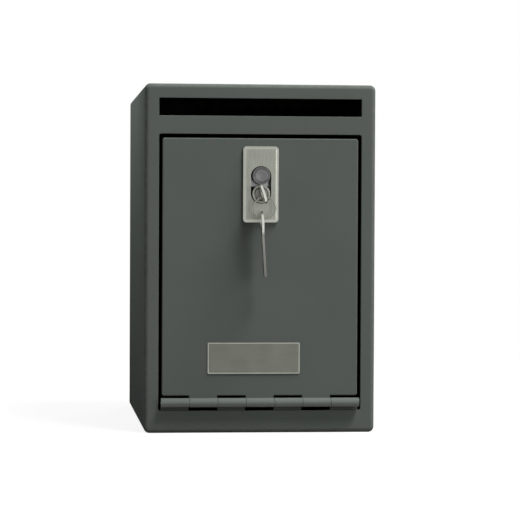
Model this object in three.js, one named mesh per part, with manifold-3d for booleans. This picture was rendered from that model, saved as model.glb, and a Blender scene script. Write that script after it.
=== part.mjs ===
// Deposit safe: a folded steel box with a deposit slot, a drop-down door on a barrel hinge, and a key lock.
// Millimetres, +Z up, the front faces -Y, and the origin lies on the floor under the middle of the body.

import * as THREE from 'three';
import { mergeVertices } from 'three/addons/utils/BufferGeometryUtils.js';
import Module from 'manifold-3d';

const wasm = await Module();
wasm.setup();

// Body
const bodyWidth = 203;
const bodyHeight = 305;
const bodyDepth = 260;
const bodySheet = 3;
const edgeRadius = 5; // outside of the bends that run from front to back
const frontRadius = 4; // rounding round the front face
const stileWidth = 12.5; // front face beside the slot and the doorway
const topRail = 12.6; // above the slot
const slotHeight = 15.4;
const middleRail = 15.8; // between slot and doorway
const slotCorner = 0.8;
const doorwayCorner = 2;
const seatGap = 0.3; // between pieces that meet but aren't joined

// Anchor holes in the back panel
const anchorRadius = 5;
const anchorSpanX = 130;
const anchorSpanZ = 170;

// Chute and comb behind the slot
const chuteSheet = 2;
const chuteFloor = 35;
const chuteDrop = 30;
const combSheet = 2;
const combDistance = 43;
const combFlange = 20;
const combThroat = 9;
const toothPitch = 12;
const toothDepth = 5;

// Door
const doorThickness = 6;
const doorSideGap = 3;
const doorTopGap = 3.5;
const doorCorner = 2;
const doorEdgeRadius = 1;

// Barrel hinge along the door's lower edge
const hingeRise = 27; // height of the pin
const barrelRadius = 4;
const barrelSideGap = 2; // from the doorway's side to the end of the barrel
const knuckleCount = 7;
const knuckleGap = 0.3;
const pinRadius = 2;
const pinClearance = 0.2;
const leafSheet = 2;
const leafHeight = 21; // from the pin to the leaf's edge
const leafRelief = 3; // how far a leaf is cut back past the gap beside the other leaf's knuckles
const upperRelief = 1.6; // between the barrel and the door's lower edge
const lowerRelief = 3.4; // between the barrel and the front's edge below it

// Stops and strike
const stopSideGap = 0.7; // from the strip to the wall beside it
const stopLap = 4; // how far the stop reaches behind the door
const stopSheet = 3;
const stopEndGap = 6;
const strikeWidth = 60;
const strikeLift = 0.8;

// Lock plate and noses
const noseDrop = 44.2; // from the doorway's top to the middle of the two noses
const noseSpacing = 16;
const noseRadius = 7.7;
const noseProud = 6;
const noseChamfer = 0.5;
const plugRadius = 5.8;
const plugClearance = 0.2;
const plugSink = 0.4; // the plug's face lies this far inside the nose
const noseHoleSideGap = 1.05;
const noseHoleEndGap = 0.35;
const plateWidth = 31.2;
const plateHeight = 66.5;
const plateThickness = 3.5;
const plateBevel = 2.5;
const plateBevelDepth = 1.4;
const plateCorner = 3;
const plateRise = 0.4; // the plate's middle above the middle of the noses

// Name plate, blank
const namePlateWidth = 81;
const namePlateHeight = 27.3;
const namePlateThickness = 0.8;
const namePlateCorner = 1;
const namePlateShift = -5.5;
const namePlateRise = 32.9; // its middle above the door's lower edge

// Lock case behind the door
const caseInsideWidth = 58;
const caseWall = 5;
const caseFloor = 2.5;
const coverSheet = 2;
const slideGap = 0.2;
const earReach = 12;
const earHeight = 12;
const lowEar = -18; // heights from the key's axis
const highEar = 24;

// Bolt and the cam that moves it. The safe is drawn unlocked, with the bolt down
const boltThickness = 8;
const boltHalfWidth = 16;
const boltTravel = 12;
const boltEngagement = 7.5; // above the doorway's top when locked
const bandHeight = 12;
const crossbarHeight = 7.5;
const rightLegWidth = 6.7;
const leftLegWidth = 5.5;
const leftLegInside = -8;
const camThickness = 7;
const camBase = 6.2; // the cam's least reach from the key's axis
const stumpSize = 4;
const stumpX = -14;

// Levers
const leverCount = 4;
const leverThickness = 2.2;
const leverPitch = 2.6;
const leverStartGap = 0.4;
const leverBelly = 4.6; // height over the key's axis of the edge that the bits push
const leverReach = 26; // from the pivot to the belly's free end
const leverPivotX = -20;
const leverPivotZ = -12;
const leverBossRadius = 5;
const leverLift = THREE.MathUtils.degToRad(5.2);
const leverHeadWidth = 18;
const leverHeadGap = 0.5;
const gateClearance = 0.8;
const postRadius = 2.5;
const springSheet = 0.6;
const springWidth = 1.6;
const springLength = 27;

// Screws
const coverScrewRadius = 1.2;
const coverScrewLength = 10;
const coverHeadRadius = 2.4;
const coverHeadHeight = 1.6;
const caseScrewRadius = 2;
const caseScrewLength = 7;
const caseHeadRadius = 4;
const caseHeadHeight = 2.6;
const screwClearance = 0.2;

// Keys
const keySheet = 1.9;
const bladeTipLength = 1.9; // past the last lever
const bladeHalfHeight = 3.4;
const bitDepths = [5.7, 5.1, 5.6, 4.8];
const tipChamfer = 1.5;
const keywayGap = 0.2;
const keywayHeadroom = 0.4;
const shoulderGap = 1;
const bowRadius = 9.3;
const bowLength = 21;
const bowNeck = 5;
const eyeRadius = 4.5;
const keyLean = THREE.MathUtils.degToRad(18); // its top to the left while the safe is unlocked
const ringRadius = 9.6;
const ringWire = 0.9;
const ringSlack = 0.35;
const spareKeyLean = THREE.MathUtils.degToRad(3.6); // its tip to the right, askew on the ring
const spareKeyShift = 2.2; // to the left from the ring's lowest point

// How finely round shapes are cut
const roundSides = 32;
const smallSides = 16;

// Places worked out from the sizes
const front = -bodyDepth / 2;
const back = bodyDepth / 2;
const openingWidth = bodyWidth - 2 * stileWidth;
const insideHalf = bodyWidth / 2 - bodySheet;
const insideTop = bodyHeight - bodySheet;
const insideRadius = edgeRadius - bodySheet;
const wallInside = front + bodySheet;
const slotTop = bodyHeight - topRail;
const slotBottom = slotTop - slotHeight;
const doorwayTop = slotBottom - middleRail;
const doorwayBottom = hingeRise - barrelRadius - lowerRelief;
const doorBottom = hingeRise + barrelRadius + upperRelief;
const doorTop = doorwayTop - doorTopGap;
const doorHalf = openingWidth / 2 - doorSideGap;
const barrelLength = openingWidth - 2 * barrelSideGap;
const keyAxisHeight = doorwayTop - noseDrop - noseSpacing / 2;

// Places in the lock, from the key's axis and from the door's front face, with +Y into the safe
const caseBack = doorThickness + caseFloor;
const boltFront = caseBack + slideGap;
const boltBack = boltFront + boltThickness;
const leverStart = boltBack + leverStartGap;
const leverPackEnd = leverStart + (leverCount - 1) * leverPitch + leverThickness;
const shoulderY = -noseProud - shoulderGap;
const bladeTip = leverPackEnd + bladeTipLength;
const bladeLength = bladeTip - shoulderY;
const caseMouth = bladeTip + shoulderGap;
const noseBoreRadius = plugRadius + plugClearance;
const camReach = camBase + boltTravel;
const windowTop = camBase + seatGap;
const windowBottom = -camReach - seatGap;
const bandTop = windowTop + bandHeight;
const caseInsideHalf = caseInsideWidth / 2;
const caseInsideTop = bandTop + boltTravel + seatGap;
const caseInsideBottom = windowBottom - crossbarHeight - shoulderGap;
const caseOutsideHalf = caseInsideHalf + caseWall;
const boltTop = doorwayTop - keyAxisHeight + boltEngagement - boltTravel;
const stumpTop = bandTop;
const leverTop = stumpTop + boltTravel - stumpSize - leverHeadGap;
const camRate = boltTravel / (Math.PI / 2);
const strikeBack = front + boltFront - seatGap;
const eyeY = -bowLength + bowRadius;

// The ring hangs in the middle of the leaning key's eye, and lies on the eye's right lower edge
const ringX = eyeRadius * Math.sin(keyLean);
const eyeEdgeDrop = eyeRadius * Math.cos(keyLean) - keySheet / 2 * Math.sin(keyLean);
const ringDrop = eyeEdgeDrop - ringSlack + ringRadius - ringWire;

// The spare key's eye hangs on the ring's inside, at the left end of the eye's upper edge
const hangReach = spareKeyShift + keySheet / 2 * Math.cos(spareKeyLean) + eyeRadius * Math.sin(spareKeyLean);
const hangDepth = Math.sqrt((ringRadius - ringWire) ** 2 - hangReach ** 2);
const spareEdgeRise = eyeRadius * Math.cos(spareKeyLean) - keySheet / 2 * Math.sin(spareKeyLean);
const spareEyeDrop = hangDepth - ringSlack + spareEdgeRise;

// Solids from three.js shapes

function solid(geometry) {
  geometry.deleteAttribute('normal');
  geometry.deleteAttribute('uv');
  const merged = mergeVertices(geometry, 1e-4);
  const corners = merged.index.array;
  const kept = [];
  for (let i = 0; i < corners.length; i += 3) {
    const [a, b, c] = [corners[i], corners[i + 1], corners[i + 2]];
    if (a !== b && b !== c && c !== a) kept.push(a, b, c);
  }
  return new wasm.Manifold(new wasm.Mesh({
    numProp: 3,
    vertProperties: new Float32Array(merged.attributes.position.array),
    triVerts: new Uint32Array(kept),
  }));
}

function box(x0, x1, y0, y1, z0, z1) {
  const geometry = new THREE.BoxGeometry(x1 - x0, y1 - y0, z1 - z0);
  geometry.translate((x0 + x1) / 2, (y0 + y1) / 2, (z0 + z1) / 2);
  return solid(geometry);
}

function polygon(points) {
  return new THREE.Shape(points.map(([u, v]) => new THREE.Vector2(u, v)));
}

function roundedRect(width, height, radius, u, v) {
  const [w, h] = [width / 2 - radius, height / 2 - radius];
  const shape = new THREE.Shape();
  shape.absarc(u + w, v - h, radius, -Math.PI / 2, 0);
  shape.absarc(u + w, v + h, radius, 0, Math.PI / 2);
  shape.absarc(u - w, v + h, radius, Math.PI / 2, Math.PI);
  shape.absarc(u - w, v - h, radius, Math.PI, 1.5 * Math.PI);
  return shape;
}

function obround(halfLength, radius, v) {
  const shape = new THREE.Shape();
  shape.absarc(0, v + halfLength - radius, radius, 0, Math.PI);
  shape.absarc(0, v - halfLength + radius, radius, Math.PI, 2 * Math.PI);
  return shape;
}

function disc(radius, u, v) {
  const shape = new THREE.Shape();
  shape.absarc(u, v, radius, 0, 2 * Math.PI);
  return shape;
}

// A shape drawn in X and Z, pushed along Y
function alongY(shape, y0, y1, curveSegments = 6) {
  const geometry = new THREE.ExtrudeGeometry(shape, { depth: y1 - y0, bevelEnabled: false, curveSegments });
  geometry.rotateX(Math.PI / 2);
  geometry.translate(0, y1, 0);
  return solid(geometry);
}

// A shape drawn in Y and Z, pushed along X
function alongX(shape, x0, x1, curveSegments = 6) {
  const geometry = new THREE.ExtrudeGeometry(shape, { depth: x1 - x0, bevelEnabled: false, curveSegments });
  const turn = new THREE.Matrix4().makeBasis(
    new THREE.Vector3(0, 1, 0),
    new THREE.Vector3(0, 0, 1),
    new THREE.Vector3(1, 0, 0),
  );
  geometry.applyMatrix4(turn);
  geometry.translate(x0, 0, 0);
  return solid(geometry);
}

// A shape drawn in X and Y, pushed along Z
function alongZ(shape, z0, z1) {
  const geometry = new THREE.ExtrudeGeometry(shape, { depth: z1 - z0, bevelEnabled: false });
  geometry.translate(0, 0, z0);
  return solid(geometry);
}

// A slab drawn in X and Z whose front edge, at the lower Y, is bevelled or rounded
function edgedSlab(shape, y0, y1, edgeSize, edgeDepth, edgeSteps) {
  const geometry = new THREE.ExtrudeGeometry(shape, {
    depth: y1 - y0,
    bevelEnabled: true,
    bevelSize: edgeSize,
    bevelOffset: -edgeSize,
    bevelThickness: edgeDepth,
    bevelSegments: edgeSteps,
    curveSegments: 6,
  });
  geometry.rotateX(Math.PI / 2);
  geometry.translate(0, y1 + edgeDepth, 0);
  geometry.computeBoundingBox();
  const { min, max } = geometry.boundingBox;
  const behind = box(min.x - 1, max.x + 1, y1, max.y + 1, min.z - 1, max.z + 1);
  return solid(geometry).subtract(behind);
}

function rodY(radius, x, z, y0, y1, sides = smallSides) {
  const geometry = new THREE.CylinderGeometry(radius, radius, y1 - y0, sides);
  geometry.translate(x, (y0 + y1) / 2, z);
  return solid(geometry);
}

function rodX(radius, y, z, x0, x1, sides = smallSides) {
  const geometry = new THREE.CylinderGeometry(radius, radius, x1 - x0, sides);
  geometry.rotateZ(Math.PI / 2);
  geometry.translate((x0 + x1) / 2, y, z);
  return solid(geometry);
}

// A profile of radius and Y, turned about the Y axis
function turned(profile, sides = roundSides) {
  return solid(new THREE.LatheGeometry(profile.map(([r, y]) => new THREE.Vector2(r, y)), sides));
}

// Finishes

function finish(color, roughness, metalness) {
  return () => new THREE.MeshStandardMaterial({ color, roughness, metalness, flatShading: true });
}

const paint = finish(0x51564f, 0.55, 0.1);
const darkPaint = finish(0x101110, 0.7, 0.1);
const satinNickel = finish(0x9a9b92, 0.38, 0.9);
const darkNickel = finish(0x5d5e60, 0.42, 0.85);
const brushedPlate = finish(0x76776e, 0.4, 0.85);
const zinc = finish(0x8e9092, 0.45, 0.85);
const castCase = finish(0x77797a, 0.5, 0.7);
const hardSteel = finish(0xa3a5a4, 0.35, 0.95);
const brass = finish(0xb08d4a, 0.35, 0.95);
const springSteel = finish(0x6a6d70, 0.35, 0.95);
const keySteel = finish(0xd2d2c8, 0.28, 0.95);

function addMesh(parent, name, piece, makeMaterial, x = 0, y = 0, z = 0) {
  const { vertProperties, triVerts } = piece.getMesh();
  const geometry = new THREE.BufferGeometry();
  geometry.setAttribute('position', new THREE.BufferAttribute(new Float32Array(vertProperties), 3));
  geometry.setIndex(new THREE.BufferAttribute(new Uint32Array(triVerts), 1));
  geometry.computeVertexNormals();
  const mesh = new THREE.Mesh(geometry, makeMaterial());
  mesh.name = name;
  mesh.position.set(x, y, z);
  parent.add(mesh);
  return mesh;
}

function addGroup(parent, x, y, z) {
  const group = new THREE.Group();
  group.position.set(x, y, z);
  parent.add(group);
  return group;
}

// Body pieces

function makeBodyShell() {
  const outline = roundedRect(bodyWidth, bodyHeight, edgeRadius, 0, bodyHeight / 2);
  const room = roundedRect(2 * insideHalf, insideTop - bodySheet, insideRadius, 0, bodyHeight / 2);
  const slot = roundedRect(openingWidth, slotHeight, slotCorner, 0, slotBottom + slotHeight / 2);
  const doorwayMiddle = (doorwayTop + doorwayBottom) / 2;
  const doorway = roundedRect(openingWidth, doorwayTop - doorwayBottom, doorwayCorner, 0, doorwayMiddle);
  return edgedSlab(outline, front, back, frontRadius, frontRadius, 4)
    .subtract(alongY(room, wallInside, back + 1, 4))
    .subtract(alongY(slot, front - 1, wallInside + 1, 3))
    .subtract(alongY(doorway, front - 1, wallInside + 1, 3));
}

function makeBackPanel() {
  const corner = insideRadius + seatGap;
  const outline = roundedRect(2 * insideHalf, insideTop - bodySheet, corner, 0, bodyHeight / 2);
  let panel = alongY(outline, back - bodySheet, back, 4);
  for (const x of [-anchorSpanX / 2, anchorSpanX / 2]) {
    for (const rise of [-anchorSpanZ / 2, anchorSpanZ / 2]) {
      panel = panel.subtract(rodY(anchorRadius, x, bodyHeight / 2 + rise, back - 2 * bodySheet, back + 1));
    }
  }
  return panel;
}

function makeDropChute() {
  const bend = wallInside + chuteFloor;
  const slant = chuteSheet * Math.SQRT1_2;
  const underBend = chuteSheet * Math.tan(Math.PI / 8);
  return alongX(polygon([
    [wallInside, slotBottom - chuteSheet],
    [bend - underBend, slotBottom - chuteSheet],
    [bend + chuteDrop - slant, slotBottom - chuteDrop - slant],
    [bend + chuteDrop, slotBottom - chuteDrop],
    [bend, slotBottom],
    [wallInside, slotBottom],
  ]), -insideHalf, insideHalf);
}

function makeFishingComb() {
  const half = insideHalf - insideRadius - seatGap;
  const legFront = wallInside + combDistance;
  const tip = slotBottom + combThroat;
  let comb = box(-half, half, legFront, legFront + combFlange, insideTop - combSheet, insideTop)
    .add(box(-half, half, legFront, legFront + combSheet, tip, insideTop));
  const notchCount = Math.floor(2 * half / toothPitch);
  for (let i = 0; i < notchCount; i += 1) {
    const middle = (i - (notchCount - 1) / 2) * toothPitch;
    const notch = polygon([
      [middle - toothPitch / 2 + 1, tip - 1],
      [middle + toothPitch / 2 - 1, tip - 1],
      [middle, tip + toothDepth],
    ]);
    comb = comb.subtract(alongY(notch, legFront - 1, legFront + combSheet + 1));
  }
  return comb;
}

// Side is -1 for the left strip and 1 for the right one
function makeStopStrip(side) {
  const near = openingWidth / 2 + seatGap;
  const far = insideHalf - stopSideGap;
  const stopFace = front + doorThickness + seatGap;
  const outline = polygon([
    [side * near, wallInside],
    [side * far, wallInside],
    [side * far, stopFace + stopSheet],
    [side * (doorHalf - stopLap), stopFace + stopSheet],
    [side * (doorHalf - stopLap), stopFace],
    [side * near, stopFace],
  ]);
  return alongZ(outline, hingeRise + leafHeight + stopEndGap, doorwayTop - stopEndGap);
}

function makeStrikeBar() {
  const half = strikeWidth / 2;
  return box(-half, half, wallInside, strikeBack, doorwayTop + strikeLift, slotBottom - chuteSheet);
}

// Hinge pieces, drawn from the pin's axis

const knucklePitch = barrelLength / knuckleCount;
const webStart = barrelRadius - 1;
const webInner = pinRadius + pinClearance + 0.1;
const upperWebEnd = barrelRadius + upperRelief;
const lowerWebEnd = barrelRadius + lowerRelief;

function knuckleEnds(index) {
  const x0 = -barrelLength / 2 + index * knucklePitch + knuckleGap / 2;
  return [x0, x0 + knucklePitch - knuckleGap];
}

// One knuckle with its web. Side is 1 where the web goes up to the door, -1 where it goes down to the body
function makeKnuckle(index, side, webEnd) {
  const [x0, x1] = knuckleEnds(index);
  const [low, high] = side > 0 ? [webInner, upperWebEnd] : [-lowerWebEnd, -webInner];
  const bore = rodX(pinRadius + pinClearance, 0, 0, x0 - 1, x1 + 1, 24);
  return rodX(barrelRadius, 0, 0, x0, x1, 24)
    .add(box(x0, x1, webStart, webEnd, low, high))
    .subtract(bore);
}

// The stretch of leaf that a knuckle's web runs into
function makeTab(index, stripFront, stripBack, low, high) {
  const [x0, x1] = knuckleEnds(index);
  return box(x0, x1, stripFront, stripBack, low, high);
}

function makeBodyLeaf() {
  const half = barrelLength / 2;
  const stripFront = barrelRadius + bodySheet;
  const stripBack = stripFront + leafSheet;
  let leaf = box(-half, half, stripFront, stripBack, -leafHeight, -lowerWebEnd - leafRelief);
  for (let index = 0; index < knuckleCount; index += 2) {
    leaf = leaf
      .add(makeKnuckle(index, -1, stripBack))
      .add(makeTab(index, stripFront, stripBack, -leafHeight, -webInner));
  }
  return leaf;
}

function makeDoorLeaf() {
  const stripFront = barrelRadius + doorThickness;
  const stripBack = stripFront + leafSheet;
  let leaf = box(-doorHalf, doorHalf, stripFront, stripBack, upperWebEnd + leafRelief, leafHeight);
  for (let index = 1; index < knuckleCount; index += 2) {
    leaf = leaf
      .add(makeKnuckle(index, 1, stripBack))
      .add(makeTab(index, stripFront, stripBack, webInner, leafHeight));
  }
  return leaf;
}

function makeHingePin() {
  return rodX(pinRadius, 0, 0, -barrelLength / 2, barrelLength / 2, 24);
}

// Door pieces, drawn from the door's front face

const noseMiddle = noseSpacing / 2;

function makeNoseHole(y0, y1) {
  const halfLength = noseSpacing / 2 + noseRadius + noseHoleEndGap;
  return alongY(obround(halfLength, noseRadius + noseHoleSideGap, noseMiddle), y0, y1, 16);
}

function earScrewPlaces() {
  const x = caseOutsideHalf + earReach / 2;
  return [[-x, lowEar], [x, lowEar], [-x, highEar], [x, highEar]];
}

function coverScrewPlaces() {
  const x = caseInsideHalf + caseWall / 2;
  const low = caseInsideBottom - caseWall / 2;
  const high = caseInsideTop + caseWall / 2;
  return [[-x, low], [x, low], [-x, high], [x, high]];
}

function makeDoorPlate() {
  const outline = roundedRect(2 * doorHalf, doorTop - doorBottom, doorCorner, 0, (doorTop + doorBottom) / 2);
  const noseHole = makeNoseHole(-1, doorThickness + 1).translate([0, 0, keyAxisHeight]);
  let plate = edgedSlab(outline, 0, doorThickness, doorEdgeRadius, doorEdgeRadius, 2).subtract(noseHole);
  const holeStart = caseBack - caseScrewLength - seatGap;
  for (const [x, z] of earScrewPlaces()) {
    plate = plate.subtract(
      rodY(caseScrewRadius + screwClearance, x, keyAxisHeight + z, holeStart, doorThickness + 1),
    );
  }
  return plate;
}

function makeNamePlate() {
  const middle = doorBottom + namePlateRise;
  const outline = roundedRect(namePlateWidth, namePlateHeight, namePlateCorner, namePlateShift, middle);
  return alongY(outline, -namePlateThickness, 0, 4);
}

// Lock pieces, drawn from the key's axis at the door's front face

function makeLockPlate() {
  const outline = roundedRect(plateWidth, plateHeight, plateCorner, 0, noseMiddle + plateRise);
  return edgedSlab(outline, -plateThickness, 0, plateBevel, plateBevelDepth, 1)
    .subtract(makeNoseHole(-plateThickness - 1, 1));
}

function makeNose() {
  return turned([
    [noseBoreRadius, -noseProud],
    [noseRadius - noseChamfer, -noseProud],
    [noseRadius, -noseProud + noseChamfer],
    [noseRadius, caseBack],
    [noseBoreRadius, caseBack],
    [noseBoreRadius, -noseProud],
  ]);
}

function makePlugBody(end) {
  const face = -noseProud + plugSink;
  return turned([
    [0, face],
    [plugRadius - noseChamfer, face],
    [plugRadius, face + noseChamfer],
    [plugRadius, end],
    [0, end],
  ]);
}

// The cam has two lobes, each an involute that moves a flat bar by the same amount for each degree of turn.
// One lowers the bolt's crossbar as the key is turned to open, and the other lifts its band to lock
function makeCam() {
  const loweringEdge = [];
  const liftingEdge = [];
  const steps = 8;
  for (let i = 0; i <= steps; i += 1) {
    const angle = (i / steps) * Math.PI / 2;
    const reach = camBase + camRate * angle;
    const along = reach * Math.sin(angle) + camRate * Math.cos(angle);
    const across = reach * Math.cos(angle) - camRate * Math.sin(angle);
    loweringEdge.push([-across, -along]);
    liftingEdge.unshift([along, across]);
  }
  const hub = plugRadius - seatGap;
  const camStart = boltFront + (boltThickness - camThickness) / 2;
  return alongY(polygon([[-hub, 0], ...loweringEdge, ...liftingEdge]), camStart, camStart + camThickness);
}

function makeKeyPlug() {
  const plugEnd = boltBack - slideGap;
  const slotHalf = keySheet / 2 + keywayGap;
  const keywayBottom = -bladeHalfHeight - keywayHeadroom;
  const keyway = box(-slotHalf, slotHalf, -noseProud - 1, plugEnd + 1, keywayBottom, camReach)
    .rotate([0, -THREE.MathUtils.radToDeg(keyLean), 0]);
  return makePlugBody(plugEnd).add(makeCam()).subtract(keyway);
}

function makeLockCase() {
  const half = caseOutsideHalf;
  const low = caseInsideBottom - caseWall;
  const high = caseInsideTop + caseWall;
  const boltSlotHalf = boltHalfWidth + slideGap;
  let lockCase = box(-half, half, doorThickness, caseMouth, low, high);
  for (const ear of [lowEar, highEar]) {
    const reach = half + earReach;
    lockCase = lockCase.add(
      box(-reach, reach, doorThickness, caseBack, ear - earHeight / 2, ear + earHeight / 2),
    );
  }
  const noseSeat = obround(noseSpacing / 2 + noseRadius + 0.1, noseRadius + 0.1, noseMiddle);
  lockCase = lockCase
    .subtract(box(-caseInsideHalf, caseInsideHalf, caseBack, caseMouth + 1, caseInsideBottom, caseInsideTop))
    .subtract(box(-boltSlotHalf, boltSlotHalf, caseBack, boltBack + slideGap, bandTop, high + 1))
    .subtract(alongY(noseSeat, doorThickness - 1, caseBack + 1, 16));
  for (const [x, z] of earScrewPlaces()) {
    lockCase = lockCase.subtract(
      rodY(caseScrewRadius + screwClearance, x, z, doorThickness - 1, caseBack + 1),
    );
  }
  const threadEnd = caseMouth + coverSheet - coverScrewLength - seatGap;
  for (const [x, z] of coverScrewPlaces()) {
    lockCase = lockCase.subtract(rodY(coverScrewRadius + screwClearance, x, z, threadEnd, caseMouth + 1));
  }
  return lockCase;
}

function makeLockCover() {
  const half = caseOutsideHalf;
  const low = caseInsideBottom - caseWall;
  const high = caseInsideTop + caseWall;
  const coverBack = caseMouth + coverSheet;
  let cover = box(-half, half, caseMouth, coverBack, low, high);
  for (const [x, z] of coverScrewPlaces()) {
    cover = cover.subtract(rodY(coverScrewRadius + screwClearance, x, z, caseMouth - 1, coverBack + 1));
  }
  return cover;
}

// A round-headed screw along Y, with its head's seat at 0 and its point towards -Y
function makeScrew(radius, length, headRadius, headHeight) {
  return turned([
    [0, -length],
    [radius, -length],
    [radius, 0],
    [headRadius, 0],
    [headRadius, headHeight / 2],
    [headRadius * 0.7, headHeight],
    [0, headHeight],
  ], smallSides);
}

function makeBolt() {
  const rightEdge = caseInsideHalf - seatGap;
  const leftEdge = leftLegInside - leftLegWidth;
  const low = windowBottom - crossbarHeight;
  const layer = (x0, x1, z0, z1) => box(x0, x1, boltFront, boltBack, z0, z1);
  const stumpHalf = stumpSize / 2;
  const stumpBack = leverPackEnd + leverStartGap;
  return layer(-boltHalfWidth, boltHalfWidth, windowTop, boltTop)
    .add(layer(-boltHalfWidth, rightEdge, windowTop, bandTop))
    .add(layer(rightEdge - rightLegWidth, rightEdge, low, bandTop))
    .add(layer(leftEdge, leftLegInside, low, bandTop))
    .add(layer(leftEdge, rightEdge, low, windowBottom))
    .add(box(
      stumpX - stumpHalf, stumpX + stumpHalf, boltBack - 1, stumpBack, stumpTop - stumpSize, stumpTop,
    ));
}

// The lever is drawn from its pivot, lowered as it is when the safe is locked. Its gate is the way that the
// bolt's stump takes past the lever while the lever swings aside
function makeLever() {
  const belly = leverBelly - leverPivotZ;
  const top = leverTop - leverPivotZ;
  const stumpMiddle = stumpTop - stumpSize / 2 - leverPivotZ;
  const locked = new THREE.Vector2(stumpX - leverPivotX, stumpMiddle + boltTravel);
  const open = new THREE.Vector2(locked.x, stumpMiddle).rotateAround(new THREE.Vector2(0, 0), -leverLift);
  const gateHalf = stumpSize / 2 + gateClearance;
  const gate = polygon([
    [locked.x - gateHalf, locked.y],
    [locked.x + gateHalf, locked.y],
    [open.x + gateHalf, open.y],
    [open.x + gateHalf, open.y - gateHalf],
    [open.x - gateHalf, open.y - gateHalf],
    [open.x - gateHalf, open.y],
  ]);
  const headLeft = locked.x - leverHeadWidth / 2 + 1;
  const arm = polygon([
    [-leverBossRadius, 0],
    [leverBossRadius, 0],
    [2 * leverBossRadius, belly],
    [leverReach, belly],
    [leverReach, belly + leverBossRadius],
    [headLeft + leverHeadWidth, belly + 2 * leverBossRadius],
    [headLeft + leverHeadWidth, top],
    [headLeft, top],
    [-leverBossRadius, 3 * leverBossRadius],
  ]);
  return alongY(arm, 0, leverThickness)
    .add(rodY(leverBossRadius, 0, 0, 0, leverThickness, 24))
    .subtract(rodY(postRadius + slideGap, 0, 0, -1, leverThickness + 1, 24))
    .subtract(alongY(gate, -1, leverThickness + 1));
}

// A flat spring along the lever's back, pressing against the side of the case
function makeLeverSpring() {
  const root = -leverBossRadius - seatGap;
  const inset = (leverThickness - springWidth) / 2;
  return box(root - springSheet, root, inset, inset + springWidth, 0, springLength);
}

function makeLeverPost() {
  return rodY(postRadius, leverPivotX, leverPivotZ, caseBack, caseMouth, 24);
}

// The key is drawn from its shoulder, with its blade along +Y and its bow towards -Y
function makeKey() {
  const bits = [];
  const firstBit = leverStart - shoulderY - (leverPitch - leverThickness) / 2;
  bitDepths.forEach((depth, i) => {
    bits.push([firstBit + i * leverPitch, depth], [firstBit + (i + 1) * leverPitch, depth]);
  });
  const blade = polygon([
    [-bowRadius / 2, -bladeHalfHeight],
    [-bowRadius / 2, bladeHalfHeight],
    [firstBit - 1, bladeHalfHeight],
    ...bits,
    [bladeLength, bladeHalfHeight],
    [bladeLength, tipChamfer - bladeHalfHeight],
    [bladeLength - tipChamfer, -bladeHalfHeight],
  ]);
  const half = keySheet / 2;
  const neck = polygon([
    [eyeY, bowRadius * 0.8],
    [eyeY, -bowRadius * 0.8],
    [0, -bowNeck],
    [0, bowNeck],
  ]);
  return alongX(blade, -half, half)
    .add(alongX(neck, -half, half))
    .add(alongX(disc(bowRadius, eyeY, 0), -half, half, 28))
    .subtract(alongX(disc(eyeRadius, eyeY, 0), -half - 1, half + 1, 20));
}

function makeKeyRing() {
  const geometry = new THREE.TorusGeometry(ringRadius, ringWire, 8, roundSides);
  geometry.rotateX(Math.PI / 2);
  return solid(geometry);
}

// The safe, put together

const safe = new THREE.Group();
safe.name = 'deposit_safe';

addMesh(safe, 'body_shell', makeBodyShell(), paint);
addMesh(safe, 'back_panel', makeBackPanel(), paint);
addMesh(safe, 'drop_chute', makeDropChute(), darkPaint);
addMesh(safe, 'fishing_comb', makeFishingComb(), darkPaint);
addMesh(safe, 'stop_strip_left', makeStopStrip(-1), darkPaint);
addMesh(safe, 'stop_strip_right', makeStopStrip(1), darkPaint);
addMesh(safe, 'strike_bar', makeStrikeBar(), darkPaint);

const hinge = addGroup(safe, 0, front - barrelRadius, hingeRise);
addMesh(hinge, 'hinge_body_leaf', makeBodyLeaf(), paint);
addMesh(hinge, 'hinge_door_leaf', makeDoorLeaf(), paint);
addMesh(hinge, 'hinge_pin', makeHingePin(), zinc);

const door = addGroup(safe, 0, front, 0);
addMesh(door, 'door_plate', makeDoorPlate(), paint);
addMesh(door, 'name_plate', makeNamePlate(), brushedPlate);

const lock = addGroup(door, 0, 0, keyAxisHeight);
addMesh(lock, 'lock_plate', makeLockPlate(), satinNickel);
addMesh(lock, 'key_nose', makeNose(), satinNickel);
addMesh(lock, 'blank_nose', makeNose(), darkNickel, 0, 0, noseSpacing);
addMesh(lock, 'blank_plug', makePlugBody(caseBack), darkNickel, 0, 0, noseSpacing);
addMesh(lock, 'lock_case', makeLockCase(), castCase);
addMesh(lock, 'lock_cover', makeLockCover(), zinc);
earScrewPlaces().forEach(([x, z], i) => {
  const screw = makeScrew(caseScrewRadius, caseScrewLength, caseHeadRadius, caseHeadHeight);
  addMesh(lock, `case_screw_${i + 1}`, screw, zinc, x, caseBack, z);
});
coverScrewPlaces().forEach(([x, z], i) => {
  const screw = makeScrew(coverScrewRadius, coverScrewLength, coverHeadRadius, coverHeadHeight);
  addMesh(lock, `cover_screw_${i + 1}`, screw, zinc, x, caseMouth + coverSheet, z);
});

addMesh(lock, 'key_plug', makeKeyPlug(), darkNickel);
addMesh(lock, 'bolt', makeBolt(), hardSteel);
addMesh(lock, 'lever_post', makeLeverPost(), hardSteel);

// The key's bits hold the levers lifted, which is the open state
const leverPack = addGroup(lock, leverPivotX, leverStart, leverPivotZ);
leverPack.rotation.y = -leverLift;
for (let i = 0; i < leverCount; i += 1) {
  addMesh(leverPack, `lever_${i + 1}`, makeLever(), brass, 0, i * leverPitch, 0);
  addMesh(leverPack, `lever_spring_${i + 1}`, makeLeverSpring(), springSteel, 0, i * leverPitch, 0);
}

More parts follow.
